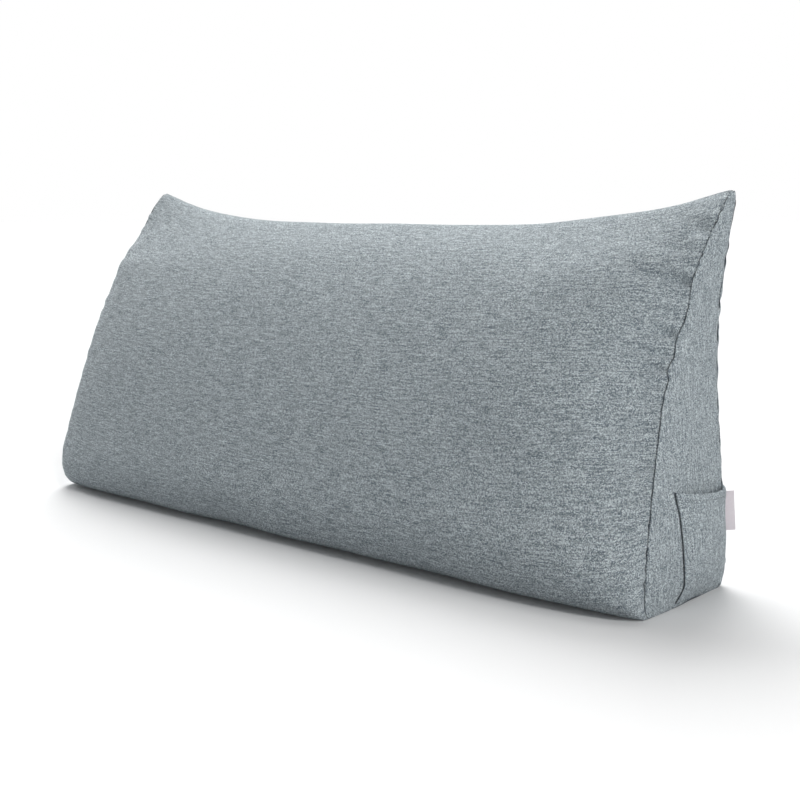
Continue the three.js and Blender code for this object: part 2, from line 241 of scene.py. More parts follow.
fuzz = stretched_noise(weave, (-400, -700), map_x, map_y, 0.0009, 0.0009, 2.0, 4.4)
height = calc(weave, "ADD", (900, 400),
              calc(weave, "MULTIPLY", (700, 460), crossing, 0.8),
              calc(weave, "MULTIPLY", (700, 360), fuzz, 0.3))
height = calc(weave, "ADD", (1100, 400), height, calc(weave, "MULTIPLY", (950, 300), long_slub, 0.35))
weave.links.new(height, outlet.inputs["Height"])
weave.links.new(tone, outlet.inputs["Tone"])
weave.links.new(fuzz, outlet.inputs["Fuzz"])


def cover_fabric(name, dark, mid, light, yarn_pitch, slub_length, relief):
    """Cloth material: three yarn tones mixed by the weave, matt, with a faint fibre sheen, and painted shade
    in the yarn gaps and along the seams.
    """
    material = bpy.data.materials.new(name)
    material.use_nodes = True
    tree = material.node_tree
    shader = tree.nodes["Principled BSDF"]
    cloth_map = add_node(tree, "ShaderNodeUVMap", (-1100, 0), uv_map="cloth map")
    group = add_node(tree, "ShaderNodeGroup", (-850, 0))
    group.node_tree = weave
    group.inputs["Yarn Pitch"].default_value = yarn_pitch
    group.inputs["Slub Length"].default_value = slub_length
    group.inputs["Unevenness"].default_value = 0.4
    tree.links.new(cloth_map.outputs[0], group.inputs["Cloth Map"])
    ramp = add_node(tree, "ShaderNodeValToRGB", (-550, 150))
    ramp.color_ramp.elements[0].position = 0.08
    ramp.color_ramp.elements[0].color = (*dark, 1.0)
    ramp.color_ramp.elements[1].position = 0.92
    ramp.color_ramp.elements[1].color = (*light, 1.0)
    middle = ramp.color_ramp.elements.new(0.5)
    middle.color = (*mid, 1.0)
    tree.links.new(group.outputs["Tone"], ramp.inputs[0])
    # painted shade and light: by yarn height, the colour darkens in the gaps between yarns and lightens on
    # their backs
    shade = add_node(tree, "ShaderNodeMapRange", (-550, -150))
    shade.inputs["From Min"].default_value = 0.15
    shade.inputs["From Max"].default_value = 1.0
    shade.inputs["To Min"].default_value = 0.5
    shade.inputs["To Max"].default_value = 1.16
    tree.links.new(group.outputs["Height"], shade.inputs["Value"])
    tone_with_painted_shade = add_node(tree, "ShaderNodeMix", (-250, 100), data_type="RGBA", blend_type="MULTIPLY")
    tone_with_painted_shade.inputs[0].default_value = 1.0
    tree.links.new(ramp.outputs[0], tone_with_painted_shade.inputs[6])
    tree.links.new(shade.outputs[0], tone_with_painted_shade.inputs[7])
    # painted shade: the colour darkens to near black along the seams, where the cleft of a seam would lie in
    # shade
    painted_shade = add_node(tree, "ShaderNodeAttribute", (-550, 350), attribute_name="painted seam shade")
    painted_shade_tone = add_node(tree, "ShaderNodeMix", (0, 200), data_type="RGBA")
    painted_shade_tone.inputs[7].default_value = (dark[0] * 0.16, dark[1] * 0.16, dark[2] * 0.17, 1.0)
    tree.links.new(painted_shade.outputs["Fac"], painted_shade_tone.inputs[0])
    tree.links.new(tone_with_painted_shade.outputs[2], painted_shade_tone.inputs[6])
    tree.links.new(painted_shade_tone.outputs[2], shader.inputs["Base Color"])
    rough = add_node(tree, "ShaderNodeMapRange", (-250, -150))
    rough.inputs["To Min"].default_value = 0.82
    rough.inputs["To Max"].default_value = 0.98
    tree.links.new(group.outputs["Fuzz"], rough.inputs["Value"])
    tree.links.new(rough.outputs[0], shader.inputs["Roughness"])
    bump = add_node(tree, "ShaderNodeBump", (-250, -350))
    bump.inputs["Strength"].default_value = 0.9
    bump.inputs["Distance"].default_value = relief
    tree.links.new(group.outputs["Height"], bump.inputs["Height"])
    tree.links.new(bump.outputs[0], shader.inputs["Normal"])
    shader.inputs["Specular IOR Level"].default_value = 0.25
    shader.inputs["Sheen Weight"].default_value = 0.12
    shader.inputs["Sheen Roughness"].default_value = 0.5
    return material


# ---------------------------------------------------------------- the filled cover
# One sewn wedge bag, stuffed full: the front, top, back and base are one skin,
# and a wedge panel closes each end. It swells between the end seams, and the
# corner tips stand up where the filling doesn't reach.
CENTRE = np.array([5.89, -31.23, 0.0])   # middle of the box in the tables' frame, mm
OUTLINE = [
    # row, end seam y, z, swollen middle y, z
    ("heel", 76, 5, 84, 0),
    ("base", 0, 2, -14, 0),
    ("front corner", -98, 1, -114, 0),
    ("toe", -106, 13, -150, 15),
    ("shin", -104, 60, -168, 60),
    ("low", -87, 125, -163, 118),
    ("knee", -62, 198, -148, 186),
    ("middle", -33, 277, -120, 266),
    ("upper", 2, 350, -78, 344),
    ("high", 25, 415, -28, 403),
    ("neck", 54, 462, 17, 435),
    ("tip front", 86, 496, 54, 450),
    ("tip rear", 96, 494, 86, 444),
    ("nape", 90, 440, 98, 418),
    ("back high", 83, 350, 104, 340),
    ("back middle", 83, 220, 106, 210),
    ("back low", 85, 90, 101, 72),
]
FRONT_CORNER, RIDGE_FRONT, RIDGE_REAR = 2, 11, 12
HALF_LENGTH_BASE, HALF_LENGTH_WAIST, HALF_LENGTH_TIP = 575.0, 551.0, 561.0
REAR_DRAW_IN = 6.0
BASE_RISE = {1: 0.27, -1: 0.17}     # how far up the front the base's tight swell reaches, right and left
TIP_HEIGHT = 496.0
FLOOR_CUT = 0.6
END_PANEL_BULGE = 7.0
BASE_COLUMNS = 30
FACE_ROWS = 200
HALF_SECTIONS = 94
GROOVE_DEPTH = 1.5
GROOVE_WIDTH = 1.5
# width of the painted shade that darkens the colour along each seam
PAINTED_SHADE_WIDTH = 1.0


def ramp(low, high, value):
    """Smooth rise from 0 at the low value to 1 at the high one."""
    t = np.clip((np.asarray(value, float) - low) / (high - low), 0.0, 1.0)
    return t * t * (3.0 - 2.0 * t)


def mix(a, b, t):
    return a + (b - a) * t


def curve_through(points, fine=60):
    """Closed smooth curve through the points, as a list of short runs between them."""
    count = len(points)
    runs = []
    u = np.linspace(0.0, 1.0, fine + 1)[:, None]
    for i in range(count):
        p0, p1, p2, p3 = (points[(i + k) % count] for k in (-1, 0, 1, 2))
        a, b, c = (np.linalg.norm(q - p) ** 0.5 for p, q in ((p0, p1), (p1, p2), (p2, p3)))
        leave = ((p1 - p0) / a - (p2 - p0) / (a + b) + (p2 - p1) / b) * b
        arrive = ((p2 - p1) / b - (p3 - p1) / (b + c) + (p3 - p2) / c) * b
        runs.append((2 * u**3 - 3 * u**2 + 1) * p1 + (u**3 - 2 * u**2 + u) * leave
                    + (-2 * u**3 + 3 * u**2) * p2 + (u**3 - u**2) * arrive)
    return runs


def along_curve(runs, start, stop, shares):
    """Points between two rows of the curve, at given shares of the length."""
    last = stop if stop > start else stop + len(runs)
    path = np.concatenate([runs[i % len(runs)][:-1] for i in range(start, last)]
                          + [runs[(last - 1) % len(runs)][-1:]])
    length = np.concatenate([[0.0], np.cumsum(np.linalg.norm(np.diff(path, axis=0), axis=1))])
    return np.stack([np.interp(np.asarray(shares) * length[-1], length, path[:, k]) for k in (0, 1)], 1)


def crowded(count, crowd):
    """Shares from 0 up to, not including, 1 that lie closer together at both ends."""
    t = np.arange(count) / count
    return t - crowd * np.sin(2 * np.pi * t) / (2 * np.pi)


# rows up the front lie closest together where the puckers are
t = np.arange(FACE_ROWS) / FACE_ROWS
front_shares = t + 0.055 * (np.sin(2 * np.pi * (t - 0.18)) + math.sin(2 * math.pi * 0.18))


def ring_of(y_column):
    points = [np.array(row[y_column:y_column + 2], float) for row in OUTLINE]
    runs = curve_through(points)
    return np.concatenate([
        along_curve(runs, 0, FRONT_CORNER, crowded(BASE_COLUMNS, 0.88)),
        along_curve(runs, FRONT_CORNER, RIDGE_FRONT, front_shares),
        along_curve(runs, RIDGE_FRONT, RIDGE_REAR, crowded(BASE_COLUMNS, 0.0)),
        along_curve(runs, RIDGE_REAR, 0, crowded(FACE_ROWS, 0.3)),
    ])


def half_length(y, z):
    waist = ramp(40, 300, z) * (1 - ramp(350, TIP_HEIGHT, z))
    outer = mix(HALF_LENGTH_BASE, HALF_LENGTH_TIP, np.clip(z / TIP_HEIGHT, 0, 1))
    drawn = REAR_DRAW_IN * ramp(-60, 80, y) * (1 - ramp(60, 220, z))
    return mix(outer, HALF_LENGTH_WAIST, waist) - drawn


end_ring, mid_ring = ring_of(1), ring_of(3)
ring_size = len(end_ring)
place = np.arange(ring_size)
up_front = np.clip((place - BASE_COLUMNS) / FACE_ROWS, 0, 1)
down_rear = np.clip((place - 2 * BASE_COLUMNS - FACE_ROWS) / FACE_ROWS, 0, 1)
ridge_share = ramp(0.72, 1, up_front) * (1 - ramp(0, 0.28, down_rear))
on_rear = place > 2 * BASE_COLUMNS + FACE_ROWS
base_share = {side: np.where(on_rear, ramp(0.7, 1, down_rear), 1 - ramp(0, rise, up_front))
              for side, rise in BASE_RISE.items()}
# how the filling swells the cover between its end seams, as (power, root): the
# right end of the front is gathered, so it is drawn in more gradually
SWELL = {"base": (12.8, 0.17), 1: (5.2, 1.2), -1: (3.0, 0.21), "rear": (11.0, 0.47), "ridge": (4.0, 1.2)}
swell = {
    side: [mix(mix(np.where(on_rear, SWELL["rear"][k], SWELL[side][k]), SWELL["base"][k], base_share[side]),
               SWELL["ridge"][k], ridge_share) for k in (0, 1)]
    for side in (1, -1)}
seam_reach = half_length(end_ring[:, 0], end_ring[:, 1])


def cover_section(share):
    """The ring of the cover at a share of the half length, -1 left to 1 right."""
    power, root = swell[1 if share > 0 else -1]
    full = np.maximum(0, 1 - np.abs(share) ** power) ** root
    yz = end_ring + (mid_ring - end_ring) * full[:, None]
    return np.stack([share * seam_reach, yz[:, 0], yz[:, 1]], 1)


# sections crowd toward the end seams, where the cover turns in sharply
watch = BASE_COLUMNS + FACE_ROWS // 2
fine_share = 1 - np.linspace(1, 0, 4000) ** 2.4


def end_shares(side):
    """Shares from the middle to one end seam, evenly placed over the cloth, then crowded."""
    reference = np.stack([cover_section(side * s)[[BASE_COLUMNS + 3, watch]] for s in fine_share])
    steps = np.linalg.norm(np.diff(reference, axis=0), axis=2).mean(axis=1)
    run = np.concatenate([[0.0], np.cumsum(steps)])
    t = 1 - np.linspace(0, 1, HALF_SECTIONS + 1)
    found = np.interp(run[-1] * (1 - t * mix(0.08, 1.0, t ** 1.1)), run, fine_share)
    found[0], found[-1] = 0.0, 1.0
    return found


shares = np.concatenate([-end_shares(-1)[:0:-1], end_shares(1)])
skin = np.stack([cover_section(s) for s in shares])
right_ring, left_ring = skin[-1].copy(), skin[0].copy()


def end_panel(ring, side):
    """Grid between the four sides of an end ring, swollen in its broad lower half."""
    base = ring[BASE_COLUMNS - np.arange(BASE_COLUMNS + 1)]
    front = ring[BASE_COLUMNS + np.arange(FACE_ROWS + 1)]
    ridge = ring[BASE_COLUMNS + FACE_ROWS + np.arange(BASE_COLUMNS + 1)]
    rear = ring[(ring_size - np.arange(FACE_ROWS + 1)) % ring_size]
    # each line of the grid sits at the same share of its own side
    u_low = np.linalg.norm(base - base[0], axis=1) / np.linalg.norm(base[-1] - base[0])
    v_high = front[:, 2] / front[-1, 2]
    u = np.broadcast_to(u_low[None, :], (FACE_ROWS + 1, BASE_COLUMNS + 1))[..., None]
    v = np.broadcast_to(v_high[:, None], u.shape[:2])[..., None]
    grid = (front[:, None] * (1 - u) + rear[:, None] * u + base[None] * (1 - v) + ridge[None] * v
            - ((front[0] * (1 - u) + rear[0] * u) * (1 - v) + (front[-1] * (1 - u) + rear[-1] * u) * v))
    grid[0], grid[-1], grid[:, 0], grid[:, -1] = base, ridge, front, rear
    across = (4 * u * (1 - u))[..., 0] ** 0.6
    upward = ramp(0, 0.09, v[..., 0]) ** 0.7 * (1 - ramp(0.35, 1, v[..., 0]))
    bulge = END_PANEL_BULGE * across * upward
    grid[..., 0] += side * bulge
    return grid


panels = {1: end_panel(right_ring, 1), -1: end_panel(left_ring, -1)}


def grid_normals(grid, wrap):
    """Outward or inward normals of a grid of points, from its neighbours."""
    if wrap:
        down = np.roll(grid, -1, 1) - np.roll(grid, 1, 1)
    else:
        down = np.gradient(grid, axis=1)
    normal = np.cross(np.gradient(grid, axis=0), down)
    return normal / np.maximum(np.linalg.norm(normal, axis=2), 1e-9)[..., None]


skin_normal = grid_normals(skin, True)
if (skin_normal[len(shares) // 2, watch] * np.array([0, -1, 0])).sum() < 0:
    skin_normal *= -1

# distance over the cloth from each point to the nearer end seam
gaps = np.linalg.norm(np.diff(skin, axis=0), axis=2)
travel = np.concatenate([np.zeros((1, ring_size)), np.cumsum(gaps, axis=0)])
to_seam = np.minimum(travel, travel[-1][None] - travel)
right_half = (shares > 0)[:, None]
seam_height = end_ring[:, 1][None]
middle_travel = travel - travel[len(shares) // 2][None]
ring_steps = np.diff(np.vstack([mid_ring, mid_ring[:1]]), axis=0)
girth = np.concatenate([[0.0], np.cumsum(np.linalg.norm(ring_steps, axis=1))])

# puckers drawn into the front panel by the end seam: height on the seam, how far
# they run over the cloth, depth, half width, how much the inner end climbs, and
# how deep they notch the cloth just beside the seam
PUCKERS = [
    (448, 41, 6.4, 4.8, 12, 2.0),
    (428, 69, 1.6, 3.4, 14, 0.0),
    (386, 117, 6.3, 4.8, 27, 2.4),
    (365, 57, 1.6, 3.4, 12, 0.0),
    (345, 63, 1.6, 3.4, 14, 0.3),
    (325, 78, 5.1, 3.4, 17, 0.8),
    (300, 96, 5.1, 2.7, 18, 0.5),
    (284, 85, 4.3, 3.1, 12, 2.2),
    (266, 63, 2.8, 2.9, 10, 1.2),
    (247, 96, 2.8, 3.7, 12, 0.3),
    (218, 92, 4.7, 3.0, 9, 0.5),
    (196, 57, 1.2, 3.4, 5, 0.0),
    (172, 57, 1.6, 4.1, 4, 0.0),
    (146, 73, 3.5, 5.4, 2, 0.2),
    (108, 69, 1.2, 5.4, 0, 0.0),
    (44, 66, 3.9, 4.1, 4, 0.4),
]
PUCKER_EASE = 14.0          # over this distance from the seam the puckers deepen
LEFT_STRENGTH = 0.3         # the left end is gathered less than the right
on_front = (place > BASE_COLUMNS) & (place < BASE_COLUMNS + FACE_ROWS)
relief = np.zeros(skin.shape[:2])
for height_on_seam, reach, depth, width, climb, notch in PUCKERS:
    along = np.clip(to_seam / reach, 0, 1)
    offset = (seam_height - height_on_seam - climb * along ** 0.9) / (width * (1 + 1.6 * along))
    fade = (1 - ramp(0.0, 1, along)) ** 0.8
    dent = -(depth * fade + notch * np.exp(-to_seam / 6.0)) * np.exp(-0.8 * offset**2)
    swelling = 0.55 * depth * fade * np.exp(-0.6 * (np.abs(offset) - 2.1) ** 2)
    relief += (np.where(right_half, 1.0, LEFT_STRENGTH) * (0.3 + 0.7 * ramp(0, PUCKER_EASE, to_seam))
               * np.where(on_front[None], dent + swelling, 0))

# the filling gathers in a soft roll beside the right end, a hand's breadth from the seam
ROLL_SWELL, ROLL_CREST, ROLL_FOOT = 12.0, 105.0, 330.0
ROLL_RISE, ROLL_FALL = (110, 240), (380, 470)      # heights over which it begins and ends
roll = ramp(0, ROLL_CREST, to_seam) * (1 - ramp(ROLL_CREST, ROLL_FOOT, to_seam))
roll = roll * ramp(*ROLL_RISE, seam_height) * (1 - ramp(*ROLL_FALL, seam_height))
relief += np.where(right_half & on_front[None], ROLL_SWELL * roll, 0.0)

# the seam is drawn to and fro by the same puckers: height, and shift to the rear
SEAM_WANDER = [
    (0, 0), (225, 0), (243, -1.5), (262, 0.5), (274, 3.0), (286, -6.5), (298, 2.0),
    (310, -1.0), (324, -5.0), (337, 2.0), (358, 4.5), (374, 1.0), (389, -3.5), (405, 0), (500, 0),
]
WANDER_FALL = 10.0
wander = np.interp(end_ring[:, 1], [h for h, _ in SEAM_WANDER], [w for _, w in SEAM_WANDER])
wander = np.where(on_front, wander, 0.0)

# small gathers along every end seam, and slow lumps of the filling
LUMP_HEIGHT = 0.32
wobble = random.Random(11)
girth_mm = girth[:-1][None]
for count in range(26):
    wave = wobble.uniform(16, 46)
    lean = wobble.uniform(-0.35, 0.35)
    phase_right, phase_left = wobble.uniform(0, 6.28), wobble.uniform(0, 6.28)
    fall = wobble.uniform(14, 46)
    phase = np.where(right_half, phase_right, phase_left)
    amount = wobble.uniform(0.06, 0.34) * np.exp(-to_seam / fall)
    relief += amount * np.sin(2 * np.pi * (girth_mm + lean * to_seam) / wave + phase)
for count in range(16):
    wave_x, wave_v = wobble.uniform(170, 420), wobble.uniform(150, 380)
    phase_x, phase_v = wobble.uniform(0, 6.28), wobble.uniform(0, 6.28)
    relief += (LUMP_HEIGHT * ramp(0, 60, to_seam) * np.sin(2 * np.pi * middle_travel / wave_x + phase_x)
               * np.sin(2 * np.pi * girth_mm / wave_v + phase_v))

# the seam itself lies in a narrow groove
relief -= GROOVE_DEPTH * np.exp(-to_seam / GROOVE_WIDTH)

# the base stays flat where it bears on the floor
bearing = skin[..., 2] < 1.5
relief = np.where(bearing, 0.0, relief * ramp(0, 14, skin[..., 2] + 1.5))
skin += skin_normal * relief[..., None]
skin[..., 1] += np.where(right_half, 1.0, LEFT_STRENGTH) * wander[None] * np.exp(-to_seam / WANDER_FALL)
skin[..., 2] = np.maximum(skin[..., 2] - FLOOR_CUT, 0)

panel_edge = {}
for side, grid in panels.items():
    normal = grid_normals(grid, False)
    if normal[FACE_ROWS // 3, BASE_COLUMNS // 2, 0] * side < 0:
        normal *= -1
    ring = skin[-1] if side > 0 else skin[0]
    from_front = np.linalg.norm(grid - grid[:, :1], axis=2)
    from_rear = np.linalg.norm(grid - grid[:, -1:], axis=2)
    from_base = np.linalg.norm(grid - grid[:1], axis=2)
    edge = np.minimum(np.minimum(from_front, from_rear), from_base)
    panel_edge[side] = edge
    shape = -GROOVE_DEPTH * np.exp(-edge / GROOVE_WIDTH)
    for count in range(14):
        wave, phase, fall = wobble.uniform(20, 60), wobble.uniform(0, 6.28), wobble.uniform(10, 30)
        amount = wobble.uniform(0.05, 0.28)
        shape += amount * np.exp(-edge / fall) * np.sin(2 * np.pi * grid[..., 2] / wave + phase)
    grid += normal * shape[..., None]
    front_wander = wander[BASE_COLUMNS + np.arange(FACE_ROWS + 1)][:, None]
    strength = 1.0 if side > 0 else LEFT_STRENGTH
    grid[..., 1] += strength * front_wander * np.exp(-from_front / WANDER_FALL)
    grid[..., 2] = np.maximum(grid[..., 2] - FLOOR_CUT, 0)
    grid[0] = ring[BASE_COLUMNS - np.arange(BASE_COLUMNS + 1)]
    grid[:, 0] = ring[BASE_COLUMNS + np.arange(FACE_ROWS + 1)]
    grid[-1] = ring[BASE_COLUMNS + FACE_ROWS + np.arange(BASE_COLUMNS + 1)]
    grid[:, -1] = ring[(ring_size - np.arange(FACE_ROWS + 1)) % ring_size]


def sheet_mesh(name, sheets):
    """Mesh from grids of points with their cloth maps, in metres, merged at shared edges.
    Each entry is (points in mm, map in mm, distance to the nearest seam, closed round, flip)."""
    points, faces, maps, painted_shades = [], [], [], []
    start = 0
    for grid, cloth, seam_gap, closed, flip in sheets:
        rows, columns = grid.shape[:2]
        points.append(grid.reshape(-1, 3))
        # painted shade: a point attribute that darkens the colour within about a millimetre of each seam
        painted_shades.append(np.exp(-(seam_gap / PAINTED_SHADE_WIDTH) ** 2).ravel())
        i, j = np.meshgrid(np.arange(rows - 1), np.arange(columns if closed else columns - 1), indexing="ij")
        k = (j + 1) % columns
        quad = np.stack([i * columns + j, i * columns + k, (i + 1) * columns + k, (i + 1) * columns + j], -1)
        edge = np.stack([cloth[i, j], cloth[i, j + 1], cloth[i + 1, j + 1], cloth[i + 1, j]], -2)
        if flip:
            quad, edge = quad[..., ::-1], edge[..., ::-1, :]
        faces.append(quad.reshape(-1, 4) + start)
        maps.append(edge.reshape(-1, 2))
        start += rows * columns
    points = (np.concatenate(points) - CENTRE) / 1000.0
    mesh = bpy.data.meshes.new(name)
    mesh.from_pydata(points.tolist(), [], np.concatenate(faces).tolist())
    layer = mesh.uv_layers.new(name="cloth map")
    layer.data.foreach_set("uv", (np.concatenate(maps) / 1000.0).astype(np.float32).ravel())
    painted_shade = mesh.attributes.new("painted seam shade", "FLOAT", "POINT")
    painted_shade.data.foreach_set("value", np.concatenate(painted_shades).astype(np.float32))
    work = bmesh.new()
    work.from_mesh(mesh)
    bmesh.ops.remove_doubles(work, verts=work.verts, dist=1e-6)
    bmesh.ops.dissolve_degenerate(work, edges=work.edges, dist=1e-7)
    work.to_mesh(mesh)
    work.free()
    mesh.shade_smooth()
    piece = bpy.data.objects.new(name, mesh)
    bpy.context.collection.objects.link(piece)
    return piece


skin_map = np.stack([
    np.concatenate([middle_travel, middle_travel[:, :1]], 1),
    np.broadcast_to(girth[None], (len(shares), ring_size + 1)),
], -1)
cover_sheets = [(skin, skin_map, to_seam, True, True)]
for side, grid in panels.items():
    panel_map = np.stack([grid[..., 2] + 40.0, grid[..., 1] * side + 700.0], -1)
    cover_sheets.append((grid, panel_map, panel_edge[side], False, side < 0))
filled_cover = sheet_mesh("filled_cover", cover_sheets)
cover_cloth = cover_fabric(
    "blue_grey_melange", (0.16, 0.2, 0.235), (0.42, 0.482, 0.522), (0.85, 0.92, 0.935),
    0.0012, 0.0013, 0.0004)
filled_cover.data.materials.append(cover_cloth)
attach(filled_cover, "root")
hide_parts("pillow")

# ---------------------------------------------------------------- the side pocket
# A patch of the same cloth laid low on the right end panel, its edges turned
# under and sewn down in front, below and behind. The mouth has a folded hem,
# held by one row of stitches, and stands a little open.
POCKET_FRONT = [(6, -43), (14, -37), (24, -31), (49, -32), (83, -33), (111, -35), (126, -39), (141, -42)]
POCKET_REAR_INSET = 2.5
POCKET_WIDTH_GUIDE, POCKET_HEIGHT_GUIDE = 122.0, 135.0      # for the spacing of the grid only
POCKET_REAR_TOP = 130.0
POCKET_MOUTH_SAG = 3.0
POCKET_OPEN = 13.0
POCKET_CLOTH = 2.0
POCKET_HEM = 3.0
HEM_STITCH_DROP = 8.5
HEM_FOLD_DROP = 12.0


def rounded_shares(count, first, total):
    """Shares from 0 to 1 that start and end with small steps, for a rounded edge."""
    edge = first * np.array([0.0, 0.06, 0.22, 0.48, 1.0, 1.8, 3.0]) / total
    middle = np.linspace(edge[-1], 1 - edge[-1], count)
    return np.concatenate([edge[:-1], middle, 1 - edge[:-1][::-1]])


def thick_sheet(name, middle, outward, thickness, edge_gap, cloth, painted_shade_gap=None):
    """Closed piece of cloth on a grid of mid points: rounded where the edge gap runs out."""
    radius = thickness / 2
    inside = np.clip(edge_gap / radius, 0, 1)
    half = radius * np.sqrt(np.maximum(0, 1 - (1 - inside) ** 2))
    # painted shade: where given, these distances darken the colour along the sheet's sewn edges
    seam_gap = np.full(middle.shape[:2], 50.0) if painted_shade_gap is None else painted_shade_gap
    return sheet_mesh(name, [
        (middle + outward * half[..., None], cloth, seam_gap, False, False),
        (middle - outward * half[..., None], cloth, seam_gap, False, True),
    ])


right_panel = panels[1]
panel_points = [Vector(point) for point in right_panel.reshape(-1, 3)]
panel_columns = right_panel.shape[1]
panel_starts = [i * panel_columns + j
                for i in range(right_panel.shape[0] - 1) for j in range(panel_columns - 1)]
panel_tree = BVHTree.FromPolygons(panel_points, [
    (k, k + 1, k + panel_columns + 1, k + panel_columns) for k in panel_starts])


def panel_x(y, z):
    """Where the end panel lies under a place on it."""
    hit = panel_tree.ray_cast(Vector((900.0, y, z)), Vector((-1.0, 0.0, 0.0)))
    return hit[0].x if hit[0] is not None else float(half_length(y, z))


front_z, front_y = np.array(POCKET_FRONT, float).T
rear_seam = right_panel[:, -1]
pocket_bottom, pocket_mouth = front_z[0], front_z[-1]
u = rounded_shares(44, 1.3, POCKET_WIDTH_GUIDE)[None, :]
v = rounded_shares(70, 1.5, POCKET_HEIGHT_GUIDE)[:, None]
mouth = mix(pocket_mouth, POCKET_REAR_TOP, u) - POCKET_MOUTH_SAG * np.sin(np.pi * u)
pocket_z = mix(pocket_bottom, mouth, v)
pocket_y = mix(np.interp(pocket_z, front_z, front_y),
               np.interp(pocket_z, rear_seam[:, 2], rear_seam[:, 1]) - POCKET_REAR_INSET, u)
below_mouth = mouth - pocket_z
across = 1 - np.abs(2 * u - 1) ** 3
stand_off = 0.2 + POCKET_OPEN * across * ramp(-0.1, 0.55, v)
under = np.array([[panel_x(y, z) for y, z in zip(*row)] for row in zip(pocket_y, pocket_z)])
hem_share = ramp(HEM_FOLD_DROP + 1.2, HEM_FOLD_DROP - 0.6, below_mouth)
pocket_thick = mix(POCKET_CLOTH, POCKET_HEM, hem_share)
# the hem is plump between its edge and the stitches, which lie in a slight groove
hem_plump = 0.5 * np.sin(np.pi * np.clip(below_mouth / HEM_STITCH_DROP, 0, 1))
stitch_groove = 0.75 * np.exp(-((below_mouth - HEM_STITCH_DROP) / 1.1) ** 2)
pocket_thick = pocket_thick + hem_plump - stitch_groove
pocket_middle = np.stack([under + stand_off + pocket_thick / 2, pocket_y, pocket_z], -1)
for count in range(12):
    wave_y, wave_z = wobble.uniform(26, 70), wobble.uniform(40, 110)
    phase_y, phase_z = wobble.uniform(0, 6.28), wobble.uniform(0, 6.28)
    pocket_middle[..., 0] += (0.16 * across * np.sin(2 * np.pi * pocket_y / wave_y + phase_y)
                              * np.sin(2 * np.pi * pocket_z / wave_z + phase_z))
pocket_out = grid_normals(pocket_middle, False)
pocket_out *= np.sign(pocket_out[..., :1])
along_u = np.concatenate([np.zeros((len(v), 1)), np.cumsum(
    np.linalg.norm(np.diff(pocket_middle, axis=1), axis=2), axis=1)], 1)
along_v = np.concatenate([np.zeros((1, u.size)), np.cumsum(
    np.linalg.norm(np.diff(pocket_middle, axis=0), axis=2), axis=0)])
sewn_gap = np.minimum(np.minimum(along_u, along_u[:, -1:] - along_u), along_v)
pocket_edge = np.minimum(sewn_gap, along_v[-1:] - along_v)
pocket_map = np.stack([along_v + 300.0, along_u + 1500.0], -1)
# painted shadow: the colour darkens along the sewn front, bottom and rear edges, where the turned edge would
# shade the panel
side_pocket = thick_sheet("side_pocket_cloth", pocket_middle, pocket_out, pocket_thick,
                          pocket_edge, pocket_map, sewn_gap + 0.25)
side_pocket.data.materials.append(cover_cloth)
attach(side_pocket, "root")
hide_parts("side_pocket")

# The row of stitches along the hem, in thread a little darker than the cloth.
STITCH_LENGTH = 2.6
STITCH_SPACING = 3.6
THREAD = 0.75
stitch_path = []
for j in range(3, u.size - 3):
    column = below_mouth[:, j]
    row_at = np.interp(-HEM_STITCH_DROP, -column, np.arange(len(column)))
    low = int(row_at)
    share = row_at - low
    outer_side = pocket_middle + pocket_out * (pocket_thick / 2)[..., None]
    stitch_path.append((mix(outer_side[low, j], outer_side[low + 1, j], share) - CENTRE) / 1000.0)
path_mesh = bpy.data.meshes.new("hem_stitches")
path_mesh.from_pydata([tuple(p) for p in stitch_path], [(i, i + 1) for i in range(len(stitch_path) - 1)], [])
stitch_line = bpy.data.objects.new("hem_stitch_line", path_mesh)
bpy.context.collection.objects.link(stitch_line)

thread = bpy.data.materials.new("grey_thread")
thread.use_nodes = True
thread_tree = thread.node_tree
thread_shader = thread_tree.nodes["Principled BSDF"]
thread_place = add_node(thread_tree, "ShaderNodeTexCoord", (-900, 0))
twist = add_node(thread_tree, "ShaderNodeTexWave", (-600, 0), bands_direction="DIAGONAL")
twist.inputs["Scale"].default_value = 1400.0
twist.inputs["Distortion"].default_value = 1.5
thread_tree.links.new(thread_place.outputs["Object"], twist.inputs["Vector"])
thread_tone = add_node(thread_tree, "ShaderNodeValToRGB", (-350, 0))
thread_tone.color_ramp.elements[0].color = (0.08, 0.1, 0.115, 1.0)
thread_tone.color_ramp.elements[1].color = (0.2, 0.235, 0.255, 1.0)
thread_tree.links.new(twist.outputs["Fac"], thread_tone.inputs[0])
thread_tree.links.new(thread_tone.outputs[0], thread_shader.inputs["Base Color"])
thread_shader.inputs["Roughness"].default_value = 0.75

stitching = bpy.data.node_groups.new("row of stitches", "GeometryNodeTree")
for way in ("INPUT", "OUTPUT"):
    stitching.interface.new_socket("Geometry", in_out=way, socket_type="NodeSocketGeometry")
for socket_name in ("Stitch Length", "Stitch Spacing", "Thread Thickness"):
    stitching.interface.new_socket(socket_name, in_out="INPUT", socket_type="NodeSocketFloat")
stitch_in = add_node(stitching, "NodeGroupInput", (-900, 0))
stitch_out = add_node(stitching, "NodeGroupOutput", (900, 0))
to_curve = add_node(stitching, "GeometryNodeMeshToCurve", (-700, 200))
resample = add_node(stitching, "GeometryNodeResampleCurve", (-500, 200), mode="LENGTH")
tangent = add_node(stitching, "GeometryNodeInputTangent", (-500, -50))
turn = add_node(stitching, "FunctionNodeAlignRotationToVector", (-300, -50), axis="X")
bead = add_node(stitching, "GeometryNodeMeshUVSphere", (-500, -250))
bead.inputs["Segments"].default_value = 8
bead.inputs["Rings"].default_value = 6
bead.inputs["Radius"].default_value = 0.5
bead_size = add_node(stitching, "ShaderNodeCombineXYZ", (-500, -450))
